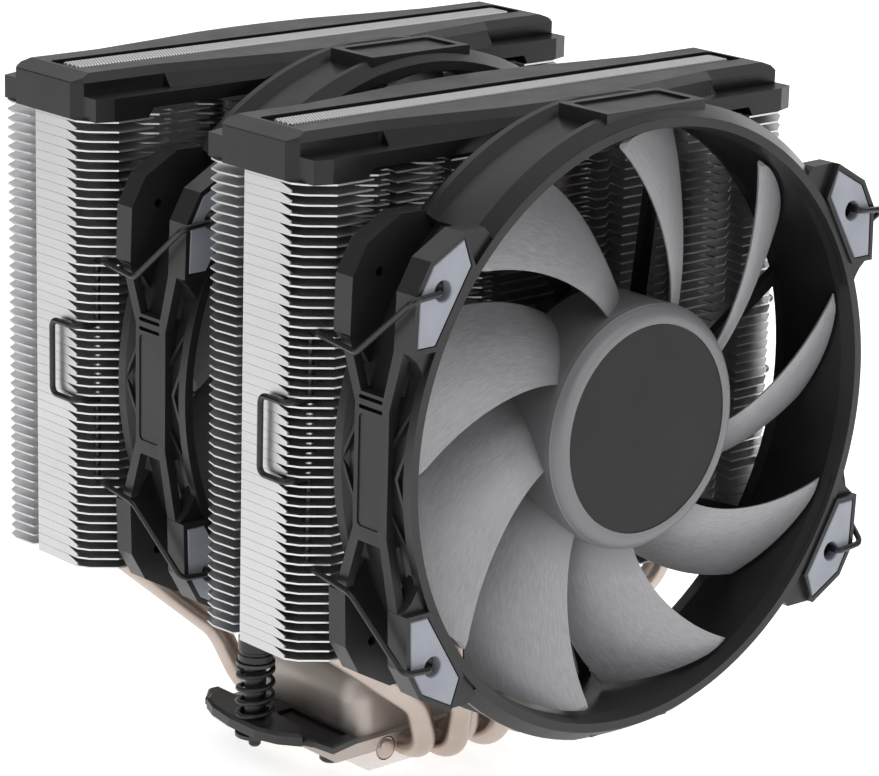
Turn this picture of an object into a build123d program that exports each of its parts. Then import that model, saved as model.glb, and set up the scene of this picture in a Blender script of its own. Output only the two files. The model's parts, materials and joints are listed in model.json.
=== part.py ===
from build123d import *

import math
import os

# Twin-tower processor cooler with two 140 mm fans, built as separate pieces.
# Frame: origin at the centre of the cold plate's underside, X to the right, Y back along the airflow, Z up.

# ------------------------------------------------------------------ driving dimensions, millimetres
FAN_Z = 97.0  # height of both fan axes above the cold plate's underside
TOWER_PITCH = 77.0  # distance between the two towers, and between the two fans
FRONT_TOWER_Y = -TOWER_PITCH / 2
FRONT_FAN_Y = FRONT_TOWER_Y - 47.8  # front face of the front fan
FAN_FRONTS = {"front": FRONT_FAN_Y, "rear": FRONT_FAN_Y + TOWER_PITCH}
TOWER_CENTRES = {"front": FRONT_TOWER_Y, "rear": FRONT_TOWER_Y + TOWER_PITCH}

# base
PLATE_HALF_X, PLATE_HALF_Y, PLATE_TOP = 24.0, 21.8, 5.0
FLANGE_HALF_X, FLANGE_TOP = 34.0, 8.35
BLOCK_HALF_X, BLOCK_HALF_Y, BLOCK_TOP = 27.0, 19.8, 25.6
BAR_TOP = 10.3
ARCH_BASE, ARCH_TOP = 9.1, 12.0  # the raised middle of each crossbar
BAR_SCREW_X, BAR_SCREW_Y = 31.0, 16.0
STUD_X = 41.3  # the two spring screws stand at plus and minus this
STUD_R = 1.5

# heat pipes
PIPE_COUNT = 7
PIPE_R = 3.0
PIPE_PITCH = 6.2
PIPE_Z = PLATE_TOP
PIPE_TOP = 158.6
LEG_X = (-50.0, -30.0, -10.0, 10.0, 30.0, 50.0)  # where the pipes stand in the front tower
LEG_ROW = 5.0  # the pipes stand in two rows this far either side of a tower's centre
PIPE_GAP = 0.03

# fins
FIN_COUNT = 49
FIN_PITCH = 2.215
FIN_THICK = 0.4
FIN_Z = 49.3
FIN_HALF_X, FIN_HALF_Y = 74.5, 19.6
FIN_TOP = FIN_Z + (FIN_COUNT - 1) * FIN_PITCH + FIN_THICK

# top covers
COVER_Z = FIN_TOP + 0.05
SKIRT_TOP = 161.4
COVER_TOP = 166.2
BEVEL = 1.9
WALL = 2.0
RECESS_HALF_X, RECESS_HALF_Y, RECESS_DEEP = 69.0, 5.6, 0.9
STRIP_HALF_X, STRIP_HALF_Y = 66.8, 3.3
END_SLOPE_X = 69.6  # where the flat top starts to slope down to each end
FLARE_OUT, FLARE_HIGH, FLARE_HALF_X = 2.2, 3.0, 50.0

# fans
FAN_DEPTH = 25.0
FRAME_R = 70.0
DUCT_R = 66.9
EAR_HOLE = (62.8, 41.3)
EAR_HOLE_R = 2.3
REAR_HOLE_R = 1.1
EAR_SUNK = 1.0  # the front ears lie this far behind the front lip
PAD_PROUD = 0.6
PAD_REAR = 3.2  # how far the rear pads stand out, to meet the fins
ARC_TOP, ARC_BOTTOM = 72.4, 70.9  # flats on the frame's outer arcs, above and below its axis
TOP_BLOCK_HALF_X = 15.0
HUB_R = 28.3
HUB_BACK = 19.5
BLADE_COUNT = 9
BLADE_TIP_R = 66.1
SHAFT_R = 1.5

# wire clips
WIRE_R = 0.7

BACK_AXIS = Axis((0, 0, FAN_Z), (0, 1, 0))


def save(piece, name):
    piece.label = name
    export_step(piece, f"parts/{name}.step")


def fan_plane(front, depth):
    """Plane across a fan, depth behind its front face, whose normal points to the front."""
    return Plane(origin=(0, front + depth, FAN_Z), x_dir=(1, 0, 0), z_dir=(0, -1, 0))


def ring(front, near, far, outer, inner):
    """Flat-faced ring on a fan's axis, from depth near to depth far."""
    with BuildPart() as body:
        with BuildSketch(fan_plane(front, far)):
            Circle(outer)
            if inner:
                Circle(inner, mode=Mode.SUBTRACT)
        extrude(amount=far - near)
    return body.part


def spun(front, profile):
    """Solid turned about a fan's axis from (radius, depth) points."""
    with BuildPart() as body:
        with BuildSketch(Plane.XY.offset(FAN_Z)):
            with BuildLine():
                Polyline([(r, front + depth) for r, depth in profile], close=True)
            make_face()
        revolve(axis=BACK_AXIS)
    return body.part


def flat(points):
    """Flat face inside an outline."""
    with BuildSketch() as face:
        with BuildLine():
            Polyline(points, close=True)
        make_face()
    return face.sketch


def in_corners(points):
    """The same flat face in each of the four quadrants."""
    quarters = [(sx, sy) for sx in (1, -1) for sy in (1, -1)]
    return [flat([(sx * x, sy * y) for x, y in points]) for sx, sy in quarters]


# ------------------------------------------------------------------ base
def pipe_xs():
    return [(i - (PIPE_COUNT - 1) / 2) * PIPE_PITCH for i in range(PIPE_COUNT)]


def pipe_channels():
    """Rods a little thicker than the pipes, to cut their channels with."""
    with BuildPart() as rods:
        with BuildSketch(Plane.XZ):
            with Locations([(x, PIPE_Z) for x in pipe_xs()]):
                Circle(PIPE_R + PIPE_GAP)
        extrude(amount=PLATE_HALF_Y + 1, both=True)
    return rods.part


def bar_screw_spots():
    return [(sx * BAR_SCREW_X, sy * BAR_SCREW_Y) for sx in (1, -1) for sy in (1, -1)]


def make_cold_plate():
    with BuildPart() as plate:
        with BuildSketch():
            Rectangle(2 * PLATE_HALF_X, 2 * PLATE_HALF_Y)
        extrude(amount=PLATE_TOP)
        chamfer(plate.edges().group_by(Axis.Z)[0], length=0.5)
        add(pipe_channels(), mode=Mode.SUBTRACT)
    return plate.part


def make_base_block():
    with BuildPart() as block:
        with BuildSketch(Plane.XY.offset(PLATE_TOP + 0.02)):
            Rectangle(2 * FLANGE_HALF_X, 2 * PLATE_HALF_Y)
        extrude(amount=FLANGE_TOP - PLATE_TOP - 0.02)
        with BuildSketch(Plane.XY.offset(FLANGE_TOP)):
            RectangleRounded(2 * BLOCK_HALF_X, 2 * BLOCK_HALF_Y, 6)
        extrude(amount=BLOCK_TOP - FLANGE_TOP)
        long_tops = block.edges().filter_by(Axis.Y).group_by(Axis.Z)[-1]
        fillet(long_tops, radius=9)
        add(pipe_channels(), mode=Mode.SUBTRACT)
        with BuildSketch(Plane.XY.offset(PLATE_TOP)):
            with Locations(bar_screw_spots()):
                Circle(1.7)
        extrude(amount=FLANGE_TOP, mode=Mode.SUBTRACT)
    return block.part


def bar_face(side, points):
    """Flat face of a crossbar outline given for the right-hand bar."""
    return flat([(side * x, y) for x, y in points])


def make_crossbar(side):
    plate = [
        (27.4, 13.6), (30.3, 13.6), (33.3, 16.6), (33.3, 24.4), (36.3, 24.6), (40.5, 20.4), (42.0, 14.0),
        (42.0, -8.0), (37.3, -17.7), (36.5, -23.5), (27.4, -21.7),
    ]
    arch = [
        (40.0, 18.8), (43.0, 16.6), (44.9, 12.0), (46.2, 4.0), (46.2, -6.0), (44.2, -12.0), (40.4, -16.8),
        (36.8, -12.0), (35.8, 0.0), (36.8, 12.0),
    ]
    pocket = [(28.6, 2.0), (33.0, 2.0), (34.4, -3.0), (34.4, -14.0), (32.5, -19.4), (28.6, -19.4)]
    with BuildPart() as bar:
        with BuildSketch(Plane.XY.offset(FLANGE_TOP + 0.02)):
            add(bar_face(side, plate))
        extrude(amount=BAR_TOP - FLANGE_TOP - 0.02)
        chamfer(bar.edges().group_by(Axis.Z)[-1], length=0.5)
        with BuildSketch(Plane.XY.offset(BAR_TOP)):
            add(bar_face(side, pocket))
        extrude(amount=-0.8, mode=Mode.SUBTRACT)
        with BuildSketch(Plane.XY.offset(ARCH_BASE)):
            add(bar_face(side, arch))
        extrude(amount=ARCH_TOP - ARCH_BASE)
        chamfer(bar.edges().group_by(Axis.Z)[-1], length=0.7)
        with BuildSketch(Plane.XY.offset(FLANGE_TOP)):
            with Locations((side * STUD_X, 0)):
                Circle(SHANK_R + 0.2)
        extrude(amount=BAR_TOP, mode=Mode.SUBTRACT)
        with BuildSketch(Plane.XY.offset(FLANGE_TOP)):
            with Locations([(side * BAR_SCREW_X, y) for y in (BAR_SCREW_Y, -BAR_SCREW_Y)]):
                Circle(1.55)
        extrude(amount=0.9, mode=Mode.SUBTRACT)
    return bar.part


def make_crossbar_screws():
    with BuildPart() as screws:
        with BuildSketch(Plane.XY.offset(PLATE_TOP - 1.8)):
            with Locations(bar_screw_spots()):
                Circle(2.7)
        extrude(amount=1.8)
        chamfer(screws.edges().group_by(Axis.Z)[0], length=0.5)
        with BuildSketch(Plane.XY.offset(PLATE_TOP)):
            with Locations(bar_screw_spots()):
                Circle(1.5)
        extrude(amount=4.1)
        with BuildSketch(Plane.XY.offset(PLATE_TOP - 1.8)):
            with Locations(bar_screw_spots()):
                Rectangle(3.0, 0.7)
                Rectangle(0.7, 3.0)
        extrude(amount=0.9, mode=Mode.SUBTRACT)
    return screws.part


# ------------------------------------------------------------------ spring screws
SCREW_CAP_TOP, SCREW_CAP_BASE = 32.8, 26.2
SHANK_R = 2.6
CLIP_BASE, CLIP_THICK = 7.3, 0.9
WASHER_THICK = 0.8
SPRING_TURNS = 4.5
SPRING_COIL_R, SPRING_WIRE_R = 4.15, 0.65


def turned(x, profile):
    """Solid turned about the upright line at x from (radius, height) points."""
    with BuildPart() as body:
        with BuildSketch(Plane(origin=(x, 0, 0), x_dir=(1, 0, 0), z_dir=(0, -1, 0))):
            with BuildLine():
                Polyline(profile, close=True)
            make_face()
        revolve(axis=Axis((x, 0, 0), (0, 0, 1)))
    return body.part


def make_spring_screw(x):
    groove_base, groove_top = CLIP_BASE - 0.05, CLIP_BASE + CLIP_THICK + 0.05
    shank = turned(x, [
        (0, 4.4), (1.1, 4.4), (STUD_R, 4.9), (STUD_R, 6.3), (SHANK_R, 6.3), (SHANK_R, groove_base),
        (2.0, groove_base), (2.0, groove_top), (SHANK_R, groove_top), (SHANK_R, SCREW_CAP_BASE),
        (3.9, SCREW_CAP_BASE), (4.2, SCREW_CAP_BASE + 0.3), (4.2, 28.0), (3.9, 28.3), (3.9, 28.8), (4.2, 29.1),
        (4.2, SCREW_CAP_TOP - 0.5), (3.7, SCREW_CAP_TOP), (3.0, SCREW_CAP_TOP), (2.8, SCREW_CAP_TOP - 0.8),
        (0, SCREW_CAP_TOP - 0.8),
    ])
    with BuildPart() as screw:
        add(shank)
        with BuildSketch(Plane.XY.offset(SCREW_CAP_TOP)):
            with Locations((x, 0)):
                Rectangle(4.4, 1.0)
                Rectangle(1.0, 4.4)
        extrude(amount=-2.4, mode=Mode.SUBTRACT)
    return screw.part


def make_screw_clip(x):
    """Open snap ring under the crossbar, in a groove of the screw."""
    with BuildPart() as clip:
        with BuildSketch(Plane.XY.offset(CLIP_BASE)):
            with Locations((x, 0)):
                Circle(4.8)
                Circle(2.05, mode=Mode.SUBTRACT)
            with Locations((x, 4)):
                Rectangle(2.8, 8, mode=Mode.SUBTRACT)
        extrude(amount=CLIP_THICK)
    return clip.part


def make_screw_washer(x):
    with BuildPart() as washer:
        with BuildSketch(Plane.XY.offset(SCREW_CAP_BASE - 0.02 - WASHER_THICK)):
            with Locations((x, 0)):
                Circle(4.7)
                Circle(SHANK_R + 0.06, mode=Mode.SUBTRACT)
        extrude(amount=WASHER_THICK)
    return washer.part


def make_screw_spring(x):
    low = ARCH_TOP + SPRING_WIRE_R + 0.05
    high = SCREW_CAP_BASE - WASHER_THICK - SPRING_WIRE_R - 0.07
    with BuildPart() as spring:
        with BuildLine(Plane(origin=(x, 0, low))):
            coil = Helix(pitch=(high - low) / SPRING_TURNS, height=high - low, radius=SPRING_COIL_R)
        with BuildSketch(Plane(origin=coil @ 0, z_dir=coil % 0)):
            Circle(SPRING_WIRE_R)
        sweep(is_frenet=True)
    return spring.part


# ------------------------------------------------------------------ heat pipes
def pipe_leg(index):
    """Route of the pipe's front leg from the tower's top to the base, or none if it ends in the base."""
    if index == 0:
        return None
    x0 = pipe_xs()[index]
    x1 = LEG_X[index - 1]
    outer = index % 2 == 0
    row = FRONT_TOWER_Y - LEG_ROW if outer else FRONT_TOWER_Y + LEG_ROW
    turn_y = -32.5 if outer else -30.0
    knee_y = -38.0 if outer else -31.5
    knee = (x0 + 0.14 * (x1 - x0), knee_y, 19.0)
    return [(x1, row, PIPE_TOP), (x1, row, 43.0), knee, (x0, turn_y, PIPE_Z)]


def make_heat_pipe(index):
    front = pipe_leg(index)
    back = pipe_leg(PIPE_COUNT - 1 - index)
    stub_y = PLATE_HALF_Y + 0.8
    x0 = pipe_xs()[index]
    points = front or [(x0, -stub_y, PIPE_Z)]
    points = points + ([(-x, -y, z) for x, y, z in reversed(back)] if back else [(x0, stub_y, PIPE_Z)])
    leg_radii = [11.0, 12.0, 8.0]
    radii = (leg_radii if front else []) + (leg_radii[::-1] if back else [])
    with BuildPart() as pipe:
        with BuildLine() as route:
            FilletPolyline(*points, radius=radii)
        with BuildSketch(Plane(origin=route.line @ 0, z_dir=route.line % 0)):
            Circle(PIPE_R)
        sweep()
        fillet(pipe.faces().filter_by(GeomType.PLANE).edges(), radius=1.6)
    return pipe.part


# ------------------------------------------------------------------ fin stacks
WIRE_HOLE = (-70.0, -14.6)  # where a clip's upright run passes the fins, from the tower's centre
WIRE_LEVELS = (9, 33)  # the gaps between fins where a clip's two arms come in
WALL_FRONT, WALL_BACK = -12.6, 3.0  # ends of the folded side wall, from the tower's centre


def fin_half():
    """Left half of a fin's outline, from the middle of its front edge round to the back."""
    points = []
    for tip, edge in ((-22.1, -14.8), (-39.8, -17.2), (-57.5, -19.6)):
        inner = edge + 2.4
        points += [
            (tip + 8.5, inner), (tip + 8.5, inner + 3.4), (tip + 6.5, inner + 3.4), (tip + 6.5, inner),
            (tip + 3.2, inner), (tip - 1.4, inner + 3.5), (tip, edge),
        ]
    points += [
        (-67.5, -FIN_HALF_Y), (-72.9, -15.4), (-FIN_HALF_X, WALL_FRONT), (-FIN_HALF_X, WALL_BACK),
        (-71.6, WALL_BACK + 0.4), (-71.6, 5.8), (-73.4, 6.6), (-74.0, 13.2), (-73.0, 16.5), (-69.0, 19.2),
        (-48.0, 19.2), (-46.0, 17.4), (-26.0, 17.4), (-24.0, 15.8),
    ]
    return points


def leg_spots(side):
    """Where the pipes pass a tower's fins, from the tower's centre."""
    spots = []
    for index in range(1, PIPE_COUNT):
        x, y, _ = pipe_leg(index)[0]
        spots.append((x, y - FRONT_TOWER_Y) if side == "front" else (-x, FRONT_TOWER_Y - y))
    return spots


def make_fin(centre, side, wire_holes):
    """One fin with its folded side walls, at the lowest level."""
    left = fin_half()
    outline = left + [(-x, y) for x, y in reversed(left)]
    high = FIN_PITCH - 0.06
    with BuildPart() as fin:
        with BuildSketch(Plane.XY.offset(FIN_Z)):
            with BuildLine():
                Polyline([(x, centre + y) for x, y in outline], close=True)
            make_face()
            with Locations([(x, centre + y) for x, y in leg_spots(side)]):
                Circle(PIPE_R + PIPE_GAP, mode=Mode.SUBTRACT)
            if wire_holes:
                with Locations([(sx * WIRE_HOLE[0], centre + WIRE_HOLE[1]) for sx in (1, -1)]):
                    Circle(WIRE_R + 0.05, mode=Mode.SUBTRACT)
        extrude(amount=FIN_THICK)
        for x in (FIN_HALF_X, -FIN_HALF_X + 0.4):
            with BuildSketch(Plane(origin=(x, centre, FIN_Z), x_dir=(0, 1, 0), z_dir=(1, 0, 0))):
                with BuildLine():
                    Polyline([
                        (WALL_BACK, 0), (WALL_BACK, high), (WALL_FRONT + 3.6, high), (WALL_FRONT, 0.5 * high),
                        (WALL_FRONT, 0),
                    ], close=True)
                make_face()
            extrude(amount=-0.4)
    return fin.part


def make_fin_stack(side):
    centre = TOWER_CENTRES[side]
    plain, holed = (make_fin(centre, side, wire_holes) for wire_holes in (False, True))
    flat_top = plain & Pos(0, centre, FIN_Z) * Box(200, 60, 2 * FIN_THICK)
    sheets = []
    for level in range(FIN_COUNT - 1):
        fin = holed if WIRE_LEVELS[0] < level <= WIRE_LEVELS[1] else plain
        sheets.append(fin.moved(Location((0, 0, level * FIN_PITCH))))
    sheets.append(flat_top.moved(Location((0, 0, (FIN_COUNT - 1) * FIN_PITCH))))
    return Compound([sheet.solid() for sheet in sheets])


# ------------------------------------------------------------------ top covers
def rim(points):
    """Whole outline from its points in the front left quadrant, from the left end to the middle."""
    left = points + [(x, -y) for x, y in reversed(points)]
    return left + [(-x, y) for x, y in reversed(left)]


SKIRT = [(-68.5, -19.3), (-72.7, -17.9)]
CREST = [(-6.0, -19.0), (-18.0, -18.2), (-34.0, -15.6), (-51.0, -13.2), (-72.6, -13.2), (-74.6, -10.6)]


def cover_face(points, centre):
    """Flat face of a cover's whole outline, about a tower's centre."""
    return flat([(x, centre + y) for x, y in rim(points)])


def make_flare(centre):
    """The raised middle of a cover widens towards its foot, except near the ends."""
    with BuildPart() as flare:
        with BuildSketch(Plane.XY.offset(SKIRT_TOP)):
            add(cover_face(CREST, centre))
            offset(amount=FLARE_OUT, kind=Kind.INTERSECTION)
        extrude(amount=FLARE_HIGH, taper=math.degrees(math.atan(FLARE_OUT / FLARE_HIGH)))
        with BuildSketch(Plane.XY.offset(SKIRT_TOP)):
            with Locations((0, centre)):
                Rectangle(2 * FLARE_HALF_X, 38.5)
        extrude(amount=FLARE_HIGH, mode=Mode.INTERSECT)
    return flare.part


def make_top_cover(side):
    centre = TOWER_CENTRES[side]
    end_length = 16.0
    with BuildPart() as cover:
        with BuildSketch(Plane.XY.offset(COVER_Z)):
            add(cover_face(SKIRT, centre))
        extrude(amount=SKIRT_TOP - COVER_Z)
        with BuildSketch(Plane.XY.offset(COVER_Z)):
            add(cover_face(CREST, centre))
            with Locations((0, centre)):
                Rectangle(2 * (74.6 - end_length), 60, mode=Mode.SUBTRACT)
        extrude(amount=SKIRT_TOP - COVER_Z)
        with BuildSketch(Plane.XY.offset(SKIRT_TOP)):
            add(cover_face(CREST, centre))
        extrude(amount=COVER_TOP - SKIRT_TOP)
        chamfer(cover.edges().group_by(Axis.Z)[-1], length=BEVEL)
        add(make_flare(centre))
        for end in (1, -1):
            with BuildSketch(Plane.XZ.offset(-centre)):
                with BuildLine():
                    Polyline([
                        (end * END_SLOPE_X, COVER_TOP + 0.1), (end * 76, COVER_TOP + 0.1), (end * 76, COVER_TOP - 2.3),
                    ], close=True)
                make_face()
            extrude(amount=30, both=True, mode=Mode.SUBTRACT)
        with BuildSketch(Plane.XY.offset(COVER_Z)):
            add(cover_face(SKIRT, centre))
            offset(amount=-WALL)
        extrude(amount=SKIRT_TOP - WALL - COVER_Z, mode=Mode.SUBTRACT)
        with BuildSketch(Plane.XY.offset(COVER_TOP)):
            with Locations((0, centre)):
                RectangleRounded(2 * RECESS_HALF_X, 2 * RECESS_HALF_Y, 1.5)
        extrude(amount=-RECESS_DEEP, mode=Mode.SUBTRACT)
        for edge_y in (centre - 19.3, centre + 19.3):
            with BuildSketch(Plane(origin=(0, edge_y, COVER_Z), x_dir=(1, 0, 0), z_dir=(0, -1, 0))):
                with BuildLine():
                    Polyline([(-59.5, -1), (59.5, -1), (57.5, 2.1), (-57.5, 2.1)], close=True)
                make_face()
            extrude(amount=3, both=True, mode=Mode.SUBTRACT)
    return cover.part


def make_cover_strip(side):
    centre = TOWER_CENTRES[side]
    bottom = COVER_TOP - RECESS_DEEP + 0.02
    with BuildPart() as strip:
        with BuildSketch(Plane.XY.offset(bottom)):
            with Locations((0, centre)):
                RectangleRounded(2 * STRIP_HALF_X, 2 * STRIP_HALF_Y, 1.0)
        extrude(amount=RECESS_DEEP - 0.2)
        chamfer(strip.edges().group_by(Axis.Z)[-1], length=0.2)
    return strip.part


# ------------------------------------------------------------------ fans
EAR = [
    (48.0, 50.5), (50.5, 52.9), (57.4, 53.0), (66.4, 48.0), (70.3, 41.2), (70.7, 28.6), (68.2, 26.4),
    (65.0, 21.5), (58.0, 30.0), (50.0, 42.0),
]
RIM = [(57.4, 53.0), (66.4, 48.0), (70.3, 41.2), (70.7, 28.6), (63.9, 28.6), (53.9, 45.4)]
PAD = [(57.2, 51.7), (65.7, 47.1), (69.2, 40.7), (69.6, 29.7), (64.6, 29.7), (55.0, 45.6)]
REAR_PAD = [(57.0, 47.6), (62.8, 46.4), (65.8, 41.4), (66.0, 32.0), (64.4, 32.0), (55.6, 45.4)]
STRUT_COUNT = 7
BEARING_R, TUBE_R = 3.5, 5.0


def ear_holes():
    return [(sx * EAR_HOLE[0], sz * EAR_HOLE[1]) for sx in (1, -1) for sz in (1, -1)]


def side_plane(front, x):
    """Upright plane along a fan's axis at x, with depth behind the front face and height above the axis."""
    return Plane(origin=(x, front, FAN_Z), x_dir=(0, 1, 0), z_dir=(1, 0, 0))


def cheek_legs():
    """Outlines, in depth and height, of the four slanting legs on one side of a frame."""
    upper = [
        [(6.6, 15.0), (8.8, 16.5), (5.4, 29.2), (2.4, 29.2)],
        [(15.4, 16.5), (17.6, 15.0), (22.8, 28.2), (19.8, 28.2)],
    ]
    return upper + [[(d, 2.0 - z if z < 20 else -z) for d, z in leg] for leg in upper]


def make_outer_arcs(front):
    """Wider flanges above and below, which run from ear to ear and end in flats at the top and bottom."""
    with BuildPart() as arcs:
        add(spun(front, [
            (68.5, 0.4), (FRAME_R, 0.4), (72.7, 3.2), (72.7, 4.8), (70.7, 6.6), (70.7, 17.4), (72.7, 19.2),
            (72.7, 21.0), (FRAME_R, 24.0), (68.5, 24.0),
        ]))
        with BuildSketch(fan_plane(front, FAN_DEPTH)):
            add(flat([(0, 0), (70, ARC_TOP), (-70, ARC_TOP)]))
            add(flat([(0, 0), (70, -ARC_BOTTOM), (-70, -ARC_BOTTOM)]))
        extrude(amount=FAN_DEPTH, mode=Mode.INTERSECT)
    return arcs.part


def make_groove_ribs(front):
    """Zigzag ribs in the grooves in front of and behind each cheek."""
    slants = [
        [(4.9, 0.5), (0.8, 10.6)], [(4.9, 0.5), (0.8, -9.6)], [(7.0, 7.0), (1.0, 17.8)], [(7.0, -7.6), (1.0, -17.4)],
        [(22.6, 1.0), (17.2, 13.0)], [(22.6, 1.0), (17.2, -11.0)],
    ]
    half = 0.45
    with BuildPart() as ribs:
        with BuildSketch(side_plane(front, 0)):
            for (near_d, near_z), (far_d, far_z) in slants:
                add(flat([(near_d - half, near_z), (near_d + half, near_z), (far_d + half, far_z), (far_d - half, far_z)]))
        extrude(amount=75, both=True)
        add(ring(front, 1.5, 23.5, 69.75, 67.7), mode=Mode.INTERSECT)
    return ribs.part


def make_fan_frame(front):
    barrel = spun(front, [
        (67.9, 0), (FRAME_R, 0), (FRAME_R, 2.4), (68.7, 3.6), (68.7, 6.6), (69.7, 7.4), (69.7, 16.6), (68.7, 17.4),
        (68.7, 21.2), (FRAME_R, 22.4), (FRAME_R, FAN_DEPTH), (67.6, FAN_DEPTH), (DUCT_R, 21.5), (DUCT_R, 3.5),
    ])
    with BuildPart() as frame:
        add(barrel)
        add(make_outer_arcs(front))
        for near, far in ((EAR_SUNK, 5.5), (19.5, FAN_DEPTH)):
            with BuildSketch(fan_plane(front, far)):
                add(in_corners(EAR))
                Circle(DUCT_R + 0.6, mode=Mode.SUBTRACT)
            extrude(amount=far - near)
        # raised rims round the front pads
        with BuildSketch(fan_plane(front, EAR_SUNK)):
            add(in_corners(RIM))
        extrude(amount=EAR_SUNK + PAD_PROUD)
        # flat cheeks left and right, and blocks above and below
        with BuildSketch(fan_plane(front, 17.6)):
            with Locations((68.6, 1), (-68.6, 1)):
                Rectangle(4.0, 33)
            Circle(DUCT_R + 0.6, mode=Mode.SUBTRACT)
        extrude(amount=11.0)
        with BuildSketch(fan_plane(front, 17.0)):
            with Locations((0, 69)):
                Rectangle(2 * TOP_BLOCK_HALF_X, 2 * (ARC_TOP - 69))
            with Locations((0, -67.5)):
                Rectangle(24, 6.8)
            Circle(DUCT_R + 0.6, mode=Mode.SUBTRACT)
        extrude(amount=15.0)
        with BuildSketch(Plane.XY.offset(FAN_Z + ARC_TOP)):
            with Locations((0, front + 9.6)):
                RectangleRounded(26, 11, 1)
        extrude(amount=-0.6, mode=Mode.SUBTRACT)
        # legs from the cheeks' corners to the ears
        for cheek in (side_plane(front, 70.6), side_plane(front, -68.4)):
            with BuildSketch(cheek):
                add([flat(leg) for leg in cheek_legs()])
            extrude(amount=-2.2)
        add(make_groove_ribs(front))
        # recess and two short slots in each cheek
        for side in (1, -1):
            with BuildSketch(side_plane(front, side * 70.6)):
                with Locations((12.6, 0.2)):
                    RectangleRounded(7.4, 25, 1.2)
            extrude(amount=0.3, both=True, mode=Mode.SUBTRACT)
            with BuildSketch(side_plane(front, side * 70.6)):
                with Locations((12.6, 14.1), (12.6, 16.3)):
                    SlotOverall(7.6, 0.9)
            extrude(amount=1.2, both=True, mode=Mode.SUBTRACT)
        # pockets and holes for the rubber pads
        with BuildSketch(fan_plane(front, 2.0)):
            add(in_corners(PAD))
        extrude(amount=3.0, mode=Mode.SUBTRACT)
        with BuildSketch(fan_plane(front, FAN_DEPTH + 0.5)):
            add(in_corners(REAR_PAD))
        extrude(amount=2.5, mode=Mode.SUBTRACT)
        for depth, radius in ((5.5, EAR_HOLE_R), (FAN_DEPTH, REAR_HOLE_R)):
            with BuildSketch(fan_plane(front, depth)):
                with Locations(ear_holes()):
                    Circle(radius)
            extrude(amount=6.5, mode=Mode.SUBTRACT)
        # motor base, its rim, the struts and the tube that holds the bearing
        with BuildSketch(fan_plane(front, FAN_DEPTH)):
            Circle(27.5)
            with PolarLocations(47.0, STRUT_COUNT, start_angle=12):
                with Locations(Rotation(0, 0, 20)):
                    Rectangle(43.5, 3.2)
        extrude(amount=2.2)
        with BuildSketch(fan_plane(front, FAN_DEPTH - 2.2)):
            Circle(27.5)
            Circle(26.2, mode=Mode.SUBTRACT)
        extrude(amount=2.3)
        with BuildSketch(fan_plane(front, FAN_DEPTH - 2.2)):
            Circle(TUBE_R)
        extrude(amount=14.8)
        with BuildSketch(fan_plane(front, FAN_DEPTH - 2.2)):
            Circle(BEARING_R)
        extrude(amount=14.8, mode=Mode.SUBTRACT)
        # cable outlet through the rear flange
        with BuildSketch(Plane(origin=(30, front + 22.6, FAN_Z - 62), x_dir=(0, 1, 0), z_dir=(0, 0, -1))):
            Rectangle(2.2, 5.0)
        extrude(amount=9, mode=Mode.SUBTRACT)
    return frame.part


def make_pads(front, near, far, outline, hole_r):
    """Four rubber pads with a hole each."""
    with BuildPart() as pads:
        with BuildSketch(fan_plane(front, far)):
            add(in_corners(outline))
            offset(amount=-0.15)
            with Locations(ear_holes()):
                Circle(hole_r, mode=Mode.SUBTRACT)
        extrude(amount=far - near)
        chamfer(pads.edges().group_by(Axis.Y)[0], length=0.25)
    return pads.part


def blade_section(front, radius):
    """Sketch across one swept blade at a radius: a thin arched strip, leading edge to the front."""
    t = max(0.0, (radius - HUB_R) / (BLADE_TIP_R - HUB_R))
    lead = math.radians(110.8 + 30 * t ** 0.9)
    trail = math.radians(80 + 35 * t ** 0.8)
    mid = (lead + trail) / 2
    half = radius * math.tan((lead - trail) / 2)
    near, far = 4.0 - 1.8 * t, 18.2 - 3.2 * t
    middle = (near + far) / 2 - 2.2 + 0.6 * t
    thick = 0.95 - 0.25 * t
    radial = (math.cos(mid), 0, math.sin(mid))
    along = (-math.sin(mid), 0, math.cos(mid))
    origin = (radius * radial[0], front, FAN_Z + radius * radial[2])
    # in this sketch x runs along the rotation and y runs towards the front
    with BuildSketch(Plane(origin=origin, x_dir=along, z_dir=radial)) as section:
        with BuildLine():
            Spline((half, -near), (0, thick - middle), (-half, -far))
            Line((-half, -far), (-half, -far - 0.5))
            Spline((-half, -far - 0.5), (0, -thick - middle), (half, -near - 0.5))
            Line((half, -near - 0.5), (half, -near))
        make_face()
    return section.sketch


def make_rotor(front):
    cup = spun(front, [
        (0, 0.9), (23.9, 0.9), (23.9, 0.3), (24.9, 0.3), (26.9, 1.0), (HUB_R - 0.2, 2.4), (HUB_R, 3.6), (HUB_R, HUB_BACK),
        (26.6, HUB_BACK), (26.6, 3.2), (4.5, 3.2), (4.5, 6.0), (SHAFT_R + 0.02, 6.0), (SHAFT_R + 0.02, 2.0), (0, 2.0),
    ])
    radii = [HUB_R - 1.4 + i * (BLADE_TIP_R - HUB_R + 2.4) / 5 for i in range(6)]
    with BuildPart() as blade:
        for radius in radii:
            add(blade_section(front, radius))
        loft()
    with BuildPart() as rotor:
        add(cup)
        for i in range(BLADE_COUNT):
            add(blade.part.rotate(BACK_AXIS, i * 360 / BLADE_COUNT))
        # trim the tips to a cylinder and round their leading corners
        trim = spun(front, [
            (BLADE_TIP_R, HUB_BACK), (BLADE_TIP_R, 3.8), (65.7, 3.1), (64.8, 2.65), (63.0, 2.3), (60.0, 1.9),
            (60.0, 0.5), (BLADE_TIP_R + 5, 0.5), (BLADE_TIP_R + 5, HUB_BACK),
        ])
        add(trim, mode=Mode.SUBTRACT)
    return rotor.part


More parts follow.
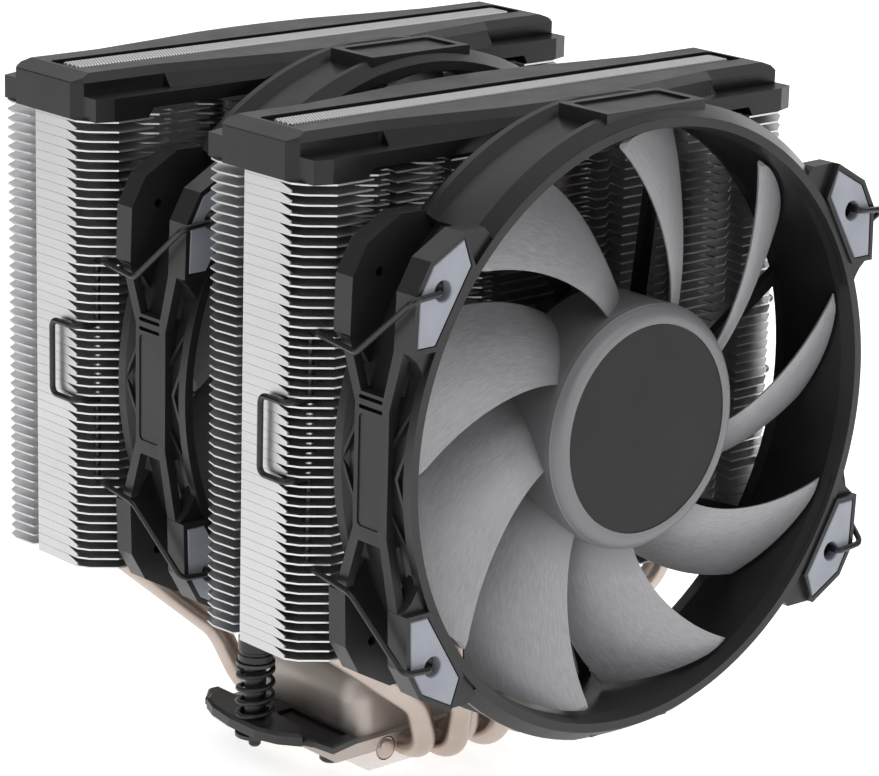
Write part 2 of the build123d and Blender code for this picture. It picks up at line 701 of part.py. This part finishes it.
def make_stator(front):
    with BuildPart() as core:
        with BuildSketch(fan_plane(front, 15.0)):
            Circle(9.0)
            with PolarLocations(14.5, 6):
                Rectangle(12, 4.4)
            with PolarLocations(20.2, 6):
                Rectangle(1.8, 13.0)
            Circle(TUBE_R + 0.05, mode=Mode.SUBTRACT)
        extrude(amount=5.0)
    return core.part


def make_coils(front):
    """Six windings, one round each arm of the stator."""
    with BuildPart() as coils:
        with BuildSketch(fan_plane(front, 16.4)):
            with PolarLocations(14.6, 6):
                RectangleRounded(6.4, 8.4, 1)
        extrude(amount=7.8)
        with BuildSketch(fan_plane(front, 15.06)):
            with PolarLocations(14.5, 6):
                Rectangle(12, 4.5)
        extrude(amount=5.12, mode=Mode.SUBTRACT)
    return coils.part


def make_circuit_board(front):
    with BuildPart() as board:
        with BuildSketch(fan_plane(front, 18.6)):
            Circle(21.0)
            Circle(TUBE_R + 0.05, mode=Mode.SUBTRACT)
        extrude(amount=1.2)
        with BuildSketch(fan_plane(front, 20.0)):
            with Locations((12, 4), (-11, 6), (2, -14)):
                Rectangle(5, 4)
        extrude(amount=1.5)
    return board.part


def save_fan(side):
    front = FAN_FRONTS[side]
    save(make_fan_frame(front), f"{side}_fan_frame")
    save(make_pads(front, -PAD_PROUD, 1.98, PAD, EAR_HOLE_R), f"{side}_fan_front_pads")
    save(make_pads(front, 23.02, FAN_DEPTH + PAD_REAR, REAR_PAD, REAR_HOLE_R), f"{side}_fan_rear_pads")
    save(make_rotor(front), f"{side}_fan_rotor")
    save(ring(front, 0.45, 0.88, 23.7, 0), f"{side}_fan_hub_disc")
    save(ring(front, 4.0, 19.0, 26.57, 25.6), f"{side}_fan_yoke")
    save(ring(front, 6.5, 17.0, 25.57, 22.4), f"{side}_fan_magnet")
    save(spun(front, [
        (0, 2.02), (SHAFT_R, 2.02), (SHAFT_R, 21.3), (1.1, 21.3), (1.1, 21.9), (SHAFT_R, 21.9), (SHAFT_R, 22.4),
        (0, 22.4),
    ]), f"{side}_fan_shaft")
    save(ring(front, 8.1, 21.2, BEARING_R - 0.02, SHAFT_R + 0.04), f"{side}_fan_bearing")
    save(ring(front, 21.35, 21.85, 2.9, 1.13), f"{side}_fan_shaft_clip")
    save(make_stator(front), f"{side}_fan_stator")
    save(make_coils(front), f"{side}_fan_coils")
    save(make_circuit_board(front), f"{side}_fan_circuit_board")


# ------------------------------------------------------------------ wire clips
def gap_height(k):
    """Height midway between fin k and the next one up."""
    return FIN_Z + k * FIN_PITCH + (FIN_THICK + FIN_PITCH) / 2


def make_wire_clip(side, hand):
    front, centre = FAN_FRONTS[side], TOWER_CENTRES[side]
    hole_x, hole_y = WIRE_HOLE[0], centre + WIRE_HOLE[1]
    hook_x = -EAR_HOLE[0] - EAR_HOLE_R + WIRE_R + 0.05
    ends = []
    for arm_gap, handle_gap, up in ((WIRE_LEVELS[1], 26, 1), (WIRE_LEVELS[0], 18, -1)):
        hook_z = FAN_Z + up * EAR_HOLE[1]
        arm_z, handle_z = gap_height(arm_gap), gap_height(handle_gap)
        ends.append([
            (hook_x, front + 6.0, hook_z),
            (hook_x, front - 1.7, hook_z),
            (-72.1, front - 1.7, hook_z - up * 0.6),
            (-74.0, front + 13.8, arm_z),
            (hole_x, hole_y, arm_z),
            (hole_x, hole_y, handle_z),
            (-76.0, centre - 13.7, handle_z),
            (-76.0, centre - 5.2, handle_z),
        ])
    points = ends[0] + ends[1][::-1]
    end_radii = [1.2, 2.0, 3.0, 1.0, 1.0, 2.6, 1.8]
    with BuildPart() as clip:
        with BuildLine() as route:
            FilletPolyline(*[(-hand * x, y, z) for x, y, z in points], radius=end_radii + end_radii[::-1])
        with BuildSketch(Plane(origin=route.line @ 0, z_dir=route.line % 0)):
            Circle(WIRE_R)
        sweep()
    return clip.part


# ------------------------------------------------------------------ the pieces
os.makedirs("parts", exist_ok=True)
save(make_cold_plate(), "cold_plate")
save(make_base_block(), "base_block")
save(make_crossbar_screws(), "crossbar_screws")
for number in range(PIPE_COUNT):
    save(make_heat_pipe(number), f"heat_pipe_{number + 1}")
for name, sign in (("left", -1), ("right", 1)):
    save(make_crossbar(sign), f"crossbar_{name}")
    save(make_spring_screw(sign * STUD_X), f"spring_screw_{name}")
    save(make_screw_clip(sign * STUD_X), f"screw_clip_{name}")
    save(make_screw_washer(sign * STUD_X), f"screw_washer_{name}")
    save(make_screw_spring(sign * STUD_X), f"screw_spring_{name}")
for name in ("front", "rear"):
    save(make_fin_stack(name), f"{name}_fin_stack")
    save(make_top_cover(name), f"{name}_top_cover")
    save(make_cover_strip(name), f"{name}_cover_strip")
    save_fan(name)
    save(make_wire_clip(name, -1), f"{name}_clip_left")
    save(make_wire_clip(name, 1), f"{name}_clip_right")
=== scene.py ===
"""Looks of the twin-tower cooler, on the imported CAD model: materials, finer meshes, floor, light and camera.

Everything is in metres, in the CAD model's own frame: +Z up, +Y along the airflow, +X right seen from the
front fan.
"""

import json
import math

import bmesh
import bpy
from mathutils import Matrix, Vector


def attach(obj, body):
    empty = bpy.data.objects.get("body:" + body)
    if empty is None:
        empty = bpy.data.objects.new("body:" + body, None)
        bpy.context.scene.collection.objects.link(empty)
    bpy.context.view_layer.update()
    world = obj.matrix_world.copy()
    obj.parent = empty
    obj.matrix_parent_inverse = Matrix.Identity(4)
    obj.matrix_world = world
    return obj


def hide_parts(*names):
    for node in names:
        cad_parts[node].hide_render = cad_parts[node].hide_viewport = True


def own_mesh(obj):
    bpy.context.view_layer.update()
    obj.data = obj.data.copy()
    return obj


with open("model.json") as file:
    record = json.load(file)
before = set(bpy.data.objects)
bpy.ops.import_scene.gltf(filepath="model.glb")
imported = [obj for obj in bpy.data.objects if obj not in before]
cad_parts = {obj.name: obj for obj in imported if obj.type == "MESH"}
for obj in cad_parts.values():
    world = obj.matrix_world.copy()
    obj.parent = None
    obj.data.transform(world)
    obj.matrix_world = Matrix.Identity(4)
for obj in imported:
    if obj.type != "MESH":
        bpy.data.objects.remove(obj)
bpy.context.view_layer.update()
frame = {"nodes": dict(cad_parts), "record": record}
scene = bpy.context.scene

FAN_Z = 0.097  # height of both fans' axis
FAN_FRONTS = {"front": -0.0863, "rear": -0.0093}  # y of each fan's front face


# ------------------------------------------------------------------ node helpers
class Nodes:
    """Short way to build one material's node tree."""

    def __init__(self, name):
        self.material = bpy.data.materials.new(name)
        self.material.use_nodes = True
        self.tree = self.material.node_tree
        self.tree.nodes.clear()
        self.out = self.add("ShaderNodeOutputMaterial")
        self.shader = self.add("ShaderNodeBsdfPrincipled")
        self.link(self.shader.outputs[0], self.out.inputs[0])

    def add(self, kind, **values):
        node = self.tree.nodes.new(kind)
        for key, value in values.items():
            setattr(node, key, value)
        return node

    def link(self, source, target):
        self.tree.links.new(source, target)

    def put(self, socket, value):
        """Sets a socket to a number or links it to another socket."""
        if isinstance(value, bpy.types.NodeSocket):
            self.link(value, socket)
        else:
            socket.default_value = value

    def put_colour(self, socket, colour):
        """Sets a colour socket to three numbers or links it to another socket."""
        self.put(socket, colour if isinstance(colour, bpy.types.NodeSocket) else (*colour, 1))

    def place(self):
        """Position in the object's own space, which is the shared frame at rest."""
        return self.add("ShaderNodeTexCoord").outputs["Object"]

    def facing(self):
        """Direction that the surface faces, in the object's own space."""
        return self.add("ShaderNodeTexCoord").outputs["Normal"]

    def math(self, operation, a, b=0.0):
        node = self.add("ShaderNodeMath", operation=operation)
        self.put(node.inputs[0], a)
        self.put(node.inputs[1], b)
        return node.outputs[0]

    def length(self, a, b):
        """Length of the flat vector with the components a and b."""
        squares = [self.math("MULTIPLY", value, value) for value in (a, b)]
        return self.math("SQRT", self.math("ADD", *squares))

    def split(self, vector):
        node = self.add("ShaderNodeSeparateXYZ")
        self.put(node.inputs[0], vector)
        return node.outputs[0], node.outputs[1], node.outputs[2]

    def join(self, x, y, z):
        node = self.add("ShaderNodeCombineXYZ")
        for socket, value in zip(node.inputs, (x, y, z)):
            self.put(socket, value)
        return node.outputs[0]

    def stretch(self, vector, scale):
        node = self.add("ShaderNodeMapping")
        self.put(node.inputs["Vector"], vector)
        node.inputs["Scale"].default_value = scale
        return node.outputs[0]

    def noise(self, vector, scale, detail=3.0, rough=0.55):
        node = self.add("ShaderNodeTexNoise")
        self.put(node.inputs["Vector"], vector)
        node.inputs["Scale"].default_value = scale
        node.inputs["Detail"].default_value = detail
        node.inputs["Roughness"].default_value = rough
        return node.outputs["Fac"]

    def spread(self, value, low, high, start=0.3, stop=0.7):
        """Maps start to stop, by default the middle of a noise's range, onto low to high."""
        node = self.add("ShaderNodeMapRange")
        self.put(node.inputs["Value"], value)
        for key, number in (("From Min", start), ("From Max", stop), ("To Min", low), ("To Max", high)):
            node.inputs[key].default_value = number
        return node.outputs["Result"]

    def blend(self, factor, a, b):
        """Colour between a and b."""
        node = self.add("ShaderNodeMix", data_type="RGBA")
        self.put(node.inputs["Factor"], factor)
        colours = [socket for socket in node.inputs if socket.type == "RGBA"]
        for socket, colour in zip(colours, (a, b)):
            self.put_colour(socket, colour)
        return [socket for socket in node.outputs if socket.type == "RGBA"][0]

    def bump(self, height, strength, distance):
        node = self.add("ShaderNodeBump")
        node.inputs["Strength"].default_value = strength
        node.inputs["Distance"].default_value = distance
        self.put(node.inputs["Height"], height)
        return node.outputs[0]

    def convex(self, start, stop):
        """0 on flat ground, 1 on outer edges."""
        return self.spread(self.add("ShaderNodeNewGeometry").outputs["Pointiness"], 0.0, 1.0, start, stop)

    def finish(self, colour, rough, metallic=0.0, normal=None, specular=0.5, coat=0.0):
        inputs = self.shader.inputs
        self.put_colour(inputs["Base Color"], colour)
        self.put(inputs["Roughness"], rough)
        inputs["Metallic"].default_value = metallic
        inputs["Specular IOR Level"].default_value = specular
        inputs["Coat Weight"].default_value = coat
        inputs["Coat Roughness"].default_value = 0.1
        if normal is not None:
            self.put(inputs["Normal"], normal)
        return self.material


# ------------------------------------------------------------------ materials
def moulded_plastic(name, dark, light, rough=(0.36, 0.48)):
    """Satin moulded plastic with a fine grain and lighter edges, partly rubbed and partly a painted edge
    highlight.
    """
    n = Nodes(name)
    at = n.place()
    grain = n.noise(at, scale=2600, detail=2)
    base = n.blend(n.spread(n.noise(at, scale=38, detail=4), 0, 1), dark, light)
    # lighter edges: partly rubbing, partly a painted highlight
    rubbed_and_highlit = [value * 2.0 + 0.01 for value in light]
    edge_lightened = n.blend(n.math("MULTIPLY", n.convex(0.53, 0.62), 0.3), base, rubbed_and_highlit)
    roughness = n.spread(n.noise(at, scale=90, detail=5), *rough)
    normal = n.bump(grain, strength=0.12, distance=0.00012)
    return n.finish(edge_lightened, roughness, normal=normal, specular=0.35)


def bright_metal(name, colour, tint, rough, along=(1, 1, 1), streak=0.1):
    """Plated metal with faint cloudy tint and fine rolling marks along one direction."""
    n = Nodes(name)
    at = n.place()
    lines = n.noise(n.stretch(at, along), scale=900)
    cloud = n.noise(at, scale=45, detail=5)
    base = n.blend(n.spread(cloud, 0, 1), colour, tint)
    roughness = n.math("ADD", n.spread(cloud, *rough), n.spread(lines, 0.0, 0.05))
    return n.finish(base, roughness, metallic=1.0, normal=n.bump(lines, streak, distance=0.00005))


def fin_sheet(name):
    """Bright rolled sheet; the folded walls, which face left and right, get a painted shade that makes them
    darker than the flat faces.
    """
    n = Nodes(name)
    at = n.place()
    lines = n.noise(n.stretch(at, (1, 0.08, 1)), scale=900)
    cloud = n.noise(at, scale=45, detail=5)
    across, _, _ = n.split(n.facing())
    # painted shade: the walls that face left and right are darkened towards grey
    wall_shade = n.spread(n.math("ABSOLUTE", across), 0, 1, 0.85, 0.97)
    sheet = n.blend(n.spread(cloud, 0, 1), (0.68, 0.68, 0.69), (0.75, 0.75, 0.76))
    base = n.blend(n.math("MULTIPLY", wall_shade, 0.75), sheet, (0.52, 0.52, 0.525))
    roughness = n.math("ADD", n.spread(cloud, 0.32, 0.42), n.spread(lines, 0.0, 0.05))
    return n.finish(base, roughness, metallic=1.0, normal=n.bump(lines, strength=0.08, distance=0.00005))


def painted(name, dark, rough, wear=0.25):
    """Black coated metal with slight orange peel and a rubbed edge."""
    n = Nodes(name)
    at = n.place()
    lighter = [value * 1.6 for value in dark]
    base = n.blend(n.spread(n.noise(at, scale=60, detail=4), 0, 1), dark, lighter)
    edge_lightened = n.blend(n.math("MULTIPLY", n.convex(0.55, 0.66), wear), base, (0.12, 0.12, 0.125))
    roughness = n.spread(n.noise(at, scale=120, detail=4), *rough)
    peel = n.bump(n.noise(at, scale=1500, detail=2), strength=0.08, distance=0.0001)
    return n.finish(edge_lightened, roughness, normal=peel)


def polar(n, front):
    """Angle round a fan's axis, distance from it, and depth behind its front face."""
    x, y, z = n.split(n.place())
    up = n.math("SUBTRACT", z, FAN_Z)
    return n.math("ARCTAN2", up, x), n.length(x, up), n.math("SUBTRACT", y, front)


def fan_blade(name, front):
    """Grey glass-filled plastic: short fine fibres that lie along the blades, over a soft mottling, with a
    painted shade towards the hub.
    """
    n = Nodes(name)
    angle, radius, depth = polar(n, front)
    sweep, across_blade, along_blade = 14.0, 95, 420
    swept = n.math("SUBTRACT", angle, n.math("MULTIPLY", radius, sweep))
    along = n.join(
        n.math("MULTIPLY", swept, across_blade),
        n.math("MULTIPLY", radius, along_blade),
        n.math("MULTIPLY", depth, along_blade),
    )
    fibres = n.noise(along, scale=1, detail=4, rough=0.65)
    cloud = n.noise(n.place(), scale=110, detail=5)
    base = n.blend(n.spread(fibres, 0, 1, 0.32, 0.68), (0.24, 0.238, 0.25), (0.34, 0.337, 0.35))
    mottled = n.blend(n.spread(cloud, 0.0, 0.5), base, (0.31, 0.307, 0.32))
    # painted shade: darker towards the hub, over the hub's side, its rim and the blade roots
    clear_of_hub_shade = n.spread(radius, 0.0, 1.0, 0.0275, 0.0370)
    colour = n.blend(clear_of_hub_shade, (0.18, 0.179, 0.187), mottled)
    normal = n.bump(fibres, strength=0.2, distance=0.0001)
    return n.finish(colour, n.spread(fibres, 0.38, 0.50), metallic=0.3, normal=normal)


def hub_label(name, front):
    """Plain satin black label with a very fine circular grain."""
    n = Nodes(name)
    angle, radius, _ = polar(n, front)
    around = n.join(n.math("MULTIPLY", angle, 0.6), n.math("MULTIPLY", radius, 2600), 0.0)
    rings = n.noise(around, scale=1, detail=2)
    cloud = n.spread(n.noise(n.place(), scale=60), 0, 1)
    base = n.blend(cloud, (0.010, 0.010, 0.011), (0.013, 0.013, 0.014))
    normal = n.bump(rings, strength=0.04, distance=0.00005)
    return n.finish(base, n.spread(rings, 0.46, 0.54), normal=normal, specular=0.28)


def pad_rubber(name):
    """Light blue-grey silicone, matte, with a soft powdery mottling."""
    n = Nodes(name)
    at = n.place()
    mottling = n.spread(n.noise(at, scale=90, detail=5), 0, 1)
    base = n.blend(mottling, (0.275, 0.29, 0.335), (0.335, 0.35, 0.395))
    normal = n.bump(n.noise(at, scale=1800), strength=0.12, distance=0.0001)
    return n.finish(base, n.spread(n.noise(at, scale=300), 0.5, 0.64), normal=normal)


def perforated_strip(name):
    """Dark inlay covered in staggered rows of fine light dots."""
    n = Nodes(name)
    x, y, _ = n.split(n.place())
    rows_per_metre = 1200.0
    row = n.math("FLOOR", n.math("MULTIPLY", y, rows_per_metre))
    stagger = n.math("MULTIPLY", n.math("MODULO", row, 2.0), 0.5)
    along = n.math("ADD", n.math("MULTIPLY", x, rows_per_metre), stagger)
    u = n.math("SUBTRACT", n.math("FRACT", along), 0.5)
    v = n.math("SUBTRACT", n.math("FRACT", n.math("MULTIPLY", y, rows_per_metre)), 0.5)
    dot = n.spread(n.length(u, v), 1.0, 0.0, 0.32, 0.44)
    base = n.blend(dot, (0.16, 0.16, 0.165), (0.85, 0.85, 0.87))
    roughness = n.spread(n.noise(n.place(), scale=200), 0.35, 0.5)
    return n.finish(base, roughness, metallic=0.2, normal=n.bump(dot, strength=0.4, distance=0.0002))


def winding(name):
    """Enamelled copper wire laid in turns."""
    n = Nodes(name)
    wave = n.add("ShaderNodeTexWave")
    n.put(wave.inputs["Vector"], n.stretch(n.place(), (1, 0, 1)))
    wave.inputs["Scale"].default_value = 900
    turns = wave.outputs["Fac"]
    base = n.blend(turns, (0.30, 0.10, 0.04), (0.62, 0.27, 0.12))
    return n.finish(base, 0.3, metallic=0.9, normal=n.bump(turns, strength=0.6, distance=0.0002))


def circuit_board(name):
    """Green lacquer over faint copper tracks."""
    n = Nodes(name)
    at = n.place()
    tracks = n.noise(n.stretch(at, (1, 0, 1)), scale=420, detail=1)
    base = n.blend(n.spread(tracks, 0, 1, 0.49, 0.52), (0.012, 0.09, 0.035), (0.03, 0.19, 0.08))
    roughness = n.spread(n.noise(at, scale=500, detail=2), 0.28, 0.4)
    return n.finish(base, roughness, normal=n.bump(tracks, strength=0.2, distance=0.0001), coat=0.3)


# Plated and bare metals: two colours, roughness from and to, stretch of the grain, depth of the grain.
METALS = {
    "nickel_plate": ((0.74, 0.69, 0.66), (0.80, 0.76, 0.73), (0.20, 0.30), (1, 0.05, 1)),
    "nickel_block": ((0.55, 0.49, 0.45), (0.62, 0.56, 0.52), (0.48, 0.58), (1, 1, 1), 0.03),
    "nickel_pipe": ((0.46, 0.38, 0.33), (0.60, 0.52, 0.47), (0.28, 0.40), (1, 1, 0.1), 0.05),
    "yoke_steel": ((0.5, 0.5, 0.52), (0.6, 0.6, 0.62), (0.3, 0.42)),
    "shaft_steel": ((0.68, 0.68, 0.7), (0.75, 0.75, 0.76), (0.12, 0.2)),
    "bearing_brass": ((0.6, 0.42, 0.2), (0.7, 0.52, 0.28), (0.3, 0.42)),
    "stator_steel": ((0.4, 0.4, 0.42), (0.52, 0.52, 0.54), (0.35, 0.5), (1, 20, 1), 0.3),
}
# Moulded pieces: darker colour, lighter colour, roughness from and to.
PLASTICS = {
    "cover_plastic": ((0.005, 0.005, 0.006), (0.008, 0.008, 0.009), (0.27, 0.36)),
    "frame_plastic": ((0.011, 0.011, 0.012), (0.016, 0.016, 0.017), (0.29, 0.40)),
    "magnet_ferrite": ((0.03, 0.03, 0.032), (0.045, 0.045, 0.048), (0.6, 0.75)),
    "nylon": ((0.72, 0.72, 0.66), (0.8, 0.8, 0.75), (0.3, 0.4)),
}
# Black coated metals: colour, roughness from and to, share of the wear on edges.
COATED = {
    "black_steel": ((0.009, 0.009, 0.010), (0.25, 0.38)),
    "black_bracket": ((0.008, 0.008, 0.009), (0.36, 0.46)),
    "black_screw": ((0.008, 0.008, 0.009), (0.32, 0.40)),
    "black_spring": ((0.006, 0.006, 0.007), (0.26, 0.36), 0.1),
    "black_wire": ((0.006, 0.006, 0.007), (0.28, 0.38), 0.06),
}
SLOT_MATERIALS = {
    **{slot: bright_metal(slot, *look) for slot, look in METALS.items()},
    **{slot: moulded_plastic(slot, *look) for slot, look in PLASTICS.items()},
    **{slot: painted(slot, *look) for slot, look in COATED.items()},
    "fin_metal": fin_sheet("fin_metal"),
    "pad_rubber": pad_rubber("pad_rubber"),
    "strip_inlay": perforated_strip("strip_inlay"),
    "coil_copper": winding("coil_copper"),
    "board_green": circuit_board("board_green"),
}
BLADES = {side: fan_blade(f"{side}_blade_grey", front) for side, front in FAN_FRONTS.items()}
LABELS = {side: hub_label(f"{side}_hub_black", front) for side, front in FAN_FRONTS.items()}


def material_for(node, slot):
    """The slot's material; a fan's rotor and label have one for each fan, centred on its axis."""
    side = node.split("_")[0]
    if slot == "rotor_plastic":
        return BLADES[side]
    if slot == "hub_label":
        return LABELS[side]
    return SLOT_MATERIALS[slot]


SHARP_ANGLE, ROTOR_SHARP_ANGLE, ROUND_SHARP_ANGLE = 28, 40, 50  # degrees


def smooth(obj, degrees):
    """Smooth shading that keeps edges sharper than the angle."""
    mesh = obj.data
    mesh.polygons.foreach_set("use_smooth", [True] * len(mesh.polygons))
    mesh.set_sharp_from_angle(angle=math.radians(degrees))


def dress_cad_nodes():
    """Gives every CAD node the material of its slot and smooth shading."""
    slots = {entry["node"]: entry["material_slot"] for entry in frame["record"]["subparts"]}
    for node, obj in frame["nodes"].items():
        obj.data.materials.clear()
        obj.data.materials.append(material_for(node, slots[node]))
        smooth(obj, ROTOR_SHARP_ANGLE if "rotor" in node else SHARP_ANGLE)


# ------------------------------------------------------------------ finer meshes
def mesh_from_rings(name, rings, closed):
    """Skin over rings of points; a closed row of rings joins its ends, an open one gets a cap on each."""
    mesh = bpy.data.meshes.new(name)
    bm = bmesh.new()
    loops = [[bm.verts.new(point) for point in ring] for ring in rings]
    following = loops[1:] + loops[:1] if closed else loops[1:]
    for near, far in zip(loops, following):
        for i in range(len(near)):
            j = (i + 1) % len(near)
            bm.faces.new((near[i], near[j], far[j], far[i]))
    if not closed:
        bm.faces.new(loops[0][::-1])
        bm.faces.new(loops[-1])
    bmesh.ops.recalc_face_normals(bm, faces=bm.faces)
    bm.to_mesh(mesh)
    bm.free()
    obj = bpy.data.objects.new(name, mesh)
    scene.collection.objects.link(obj)
    return obj


def tube(name, path, radius, around=14):
    """Closed round tube along a list of points."""
    turns = [2 * math.pi * k / around for k in range(around)]
    rings = []
    for i, point in enumerate(path):
        ahead = (path[min(i + 1, len(path) - 1)] - path[max(i - 1, 0)]).normalized()
        right = ahead.cross(Vector((0, 0, 1))).normalized()
        top = right.cross(ahead)
        rings.append([point + radius * (math.cos(turn) * right + math.sin(turn) * top) for turn in turns])
    return mesh_from_rings(name, rings, closed=False)


SCREW_X = 0.0413  # distance of each spring screw from the middle
SPRING_BASE, WASHER_Z = 0.01205, 0.0254  # top of the crossbar and underside of the washer
COIL_R, WIRE_R, COIL_TURNS = 0.00415, 0.00065, 4.5
FLAT_TURNS = 0.45  # part of a turn that lies flat at each end
SPRING_PLAY = 0.00005
SPRING_STEPS = 220


def spring_path(x):
    """Coil that lies flat at both ends and climbs in between."""
    low = SPRING_BASE + WIRE_R
    high = WASHER_Z - WIRE_R - SPRING_PLAY
    path = []
    for i in range(SPRING_STEPS + 1):
        turn = COIL_TURNS * i / SPRING_STEPS
        climb = min(max((turn - FLAT_TURNS) / (COIL_TURNS - 2 * FLAT_TURNS), 0), 1)
        angle = 2 * math.pi * turn
        height = low + (high - low) * climb
        path.append(Vector((x + COIL_R * math.cos(angle), COIL_R * math.sin(angle), height)))
    return path


def make_springs():
    """Round-wire springs between the crossbar and each screw's washer, in place of the CAD springs, which are
    hidden.
    """
    for side, x in (("left", -SCREW_X), ("right", SCREW_X)):
        spring = tube(f"{side}_spring_coil", spring_path(x), WIRE_R)
        spring.data.materials.append(SLOT_MATERIALS["black_spring"])
        smooth(spring, ROUND_SHARP_ANGLE)
        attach(spring, "cooler")
        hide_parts(f"screw_spring_{side}")
        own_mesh(spring)


# The rounded rim round a hub's label: radii from the axis, and depths behind the fan's front face.
RIM_FRONT_R, HUB_R = 0.0249, 0.02833
RIM_FRONT_DEPTH, RIM_SIDE_DEPTH = 0.00028, 0.0040
RIM_INNER_EDGE = [(0.02398, 0.0014), (0.02398, 0.00055), (0.0242, 0.00034), (0.0245, RIM_FRONT_DEPTH)]
RIM_FOOT = [(0.0280, 0.0043), (0.0262, 0.0026)]  # inside the hub
RIM_STEPS, RIM_AROUND = 14, 128


def hub_rim_profile():
    """Radius and depth of each point of the rim's outline: inner edge, quarter round, foot."""
    quarter_round = []
    for i in range(RIM_STEPS + 1):
        turn = math.pi / 2 * i / RIM_STEPS
        radius = RIM_FRONT_R + (HUB_R - RIM_FRONT_R) * math.sin(turn)
        depth = RIM_SIDE_DEPTH - (RIM_SIDE_DEPTH - RIM_FRONT_DEPTH) * math.cos(turn)
        quarter_round.append((radius, depth))
    return RIM_INNER_EDGE + quarter_round + RIM_FOOT


def make_hub_rims():
    """Rounded rims that turn with the fans and cover the hubs' square front edges."""
    turns = [2 * math.pi * k / RIM_AROUND for k in range(RIM_AROUND)]
    for side, front in FAN_FRONTS.items():
        profile = hub_rim_profile()
        rings = [
            [(r * math.cos(turn), front + depth, FAN_Z + r * math.sin(turn)) for r, depth in profile]
            for turn in turns
        ]
        rim = mesh_from_rings(f"{side}_hub_rim", rings, closed=True)
        rim.data.materials.append(BLADES[side])
        smooth(rim, ROUND_SHARP_ANGLE)
        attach(rim, f"{side}_impeller")


# ------------------------------------------------------------------ floor, light and camera
FLOOR_HALF = 6.0
FLOOR_GLOW = 0.7  # keeps the floor white under the cooler, as on a lit table
WORLD_LIGHT, WORLD_SEEN = 0.09, 0.85


def make_floor():
    mesh = bpy.data.meshes.new("floor")
    bm = bmesh.new()
    bmesh.ops.create_grid(bm, x_segments=1, y_segments=1, size=FLOOR_HALF)
    bm.to_mesh(mesh)
    bm.free()
    floor = bpy.data.objects.new("floor", mesh)
    scene.collection.objects.link(floor)
    n = Nodes("floor_white")
    base = n.blend(n.spread(n.noise(n.place(), scale=3), 0, 1), (0.90, 0.90, 0.90), (0.92, 0.92, 0.92))
    n.shader.inputs["Emission Color"].default_value = (1, 1, 1, 1)
    n.shader.inputs["Emission Strength"].default_value = FLOOR_GLOW
    mesh.materials.append(n.finish(base, 0.8, specular=0.1))


def make_world():
    """Dim light from all round, over a backdrop that looks pale where the floor ends."""
    world = bpy.data.worlds.new("studio")
    scene.world = world
    world.use_nodes = True
    tree = world.node_tree
    back = tree.nodes["Background"]
    back.inputs["Color"].default_value = (1, 1, 1, 1)
    strength = tree.nodes.new("ShaderNodeMapRange")
    strength.inputs["To Min"].default_value = WORLD_LIGHT
    strength.inputs["To Max"].default_value = WORLD_SEEN
    seen = tree.nodes.new("ShaderNodeLightPath").outputs["Is Camera Ray"]
    tree.links.new(seen, strength.inputs["Value"])
    tree.links.new(strength.outputs["Result"], back.inputs["Strength"])


# Soft boxes: place, point aimed at, width and height, watts.
LIGHTS = {
    "left_softbox": ((-0.9, -0.15, 0.55), (0, 0, 0.1), (0.9, 0.9), 2.4),
    "top_softbox": ((0.1, 0.1, 1.1), (0, 0, 0.1), (2.0, 2.0), 12),
    "front_fill": ((0.2, -1.2, 0.5), (0, 0, 0.1), (1.0, 0.6), 4.5),
    "right_rim": ((1.0, 0.1, 0.35), (0, 0, 0.1), (0.5, 0.8), 3),
    "back_softbox": ((0.83, 0.93, 0.55), (0, 0, 0.15), (1.6, 0.7), 1.7),
}


def make_lights():
    for name, (at, aim, size, watts) in LIGHTS.items():
        light = bpy.data.lights.new(name, "AREA")
        light.shape = "RECTANGLE"
        light.size, light.size_y = size
        light.energy = watts
        obj = bpy.data.objects.new(name, light)
        scene.collection.objects.link(obj)
        obj.location = at
        obj.rotation_euler = (Vector(aim) - Vector(at)).to_track_quat("-Z", "Y").to_euler()
        obj.visible_camera = False


CAMERA_AT = (-0.5158, -0.58967, 0.31388)
CAMERA_YAW, CAMERA_PITCH, CAMERA_ROLL = 41.965, 16.678, 1.592  # degrees: right of +Y, down, tilt
LENS_MM, SENSOR_MM = 139.0, 36.0
SHIFT_X, SHIFT_Y = 0.0028, 0.0337
CLIP_START = 0.01


def make_camera():
    yaw, pitch, roll = (math.radians(angle) for angle in (CAMERA_YAW, CAMERA_PITCH, CAMERA_ROLL))
    ahead = Vector((math.sin(yaw) * math.cos(pitch), math.cos(yaw) * math.cos(pitch), -math.sin(pitch)))
    right = Vector((math.cos(yaw), -math.sin(yaw), 0))
    up = right.cross(ahead)
    tilted_right = math.cos(roll) * right + math.sin(roll) * up
    tilted_up = math.cos(roll) * up - math.sin(roll) * right
    data = bpy.data.cameras.new("camera")
    data.sensor_width = SENSOR_MM
    data.lens = LENS_MM
    data.shift_x = SHIFT_X
    data.shift_y = SHIFT_Y
    data.clip_start = CLIP_START
    camera = bpy.data.objects.new("camera", data)
    scene.collection.objects.link(camera)
    turn = Matrix((tilted_right, tilted_up, -ahead)).transposed().to_4x4()
    camera.matrix_world = Matrix.Translation(CAMERA_AT) @ turn
    scene.camera = camera


dress_cad_nodes()
make_springs()
make_hub_rims()
make_floor()
make_world()
make_lights()
make_camera()
scene.view_settings.view_transform = "Standard"
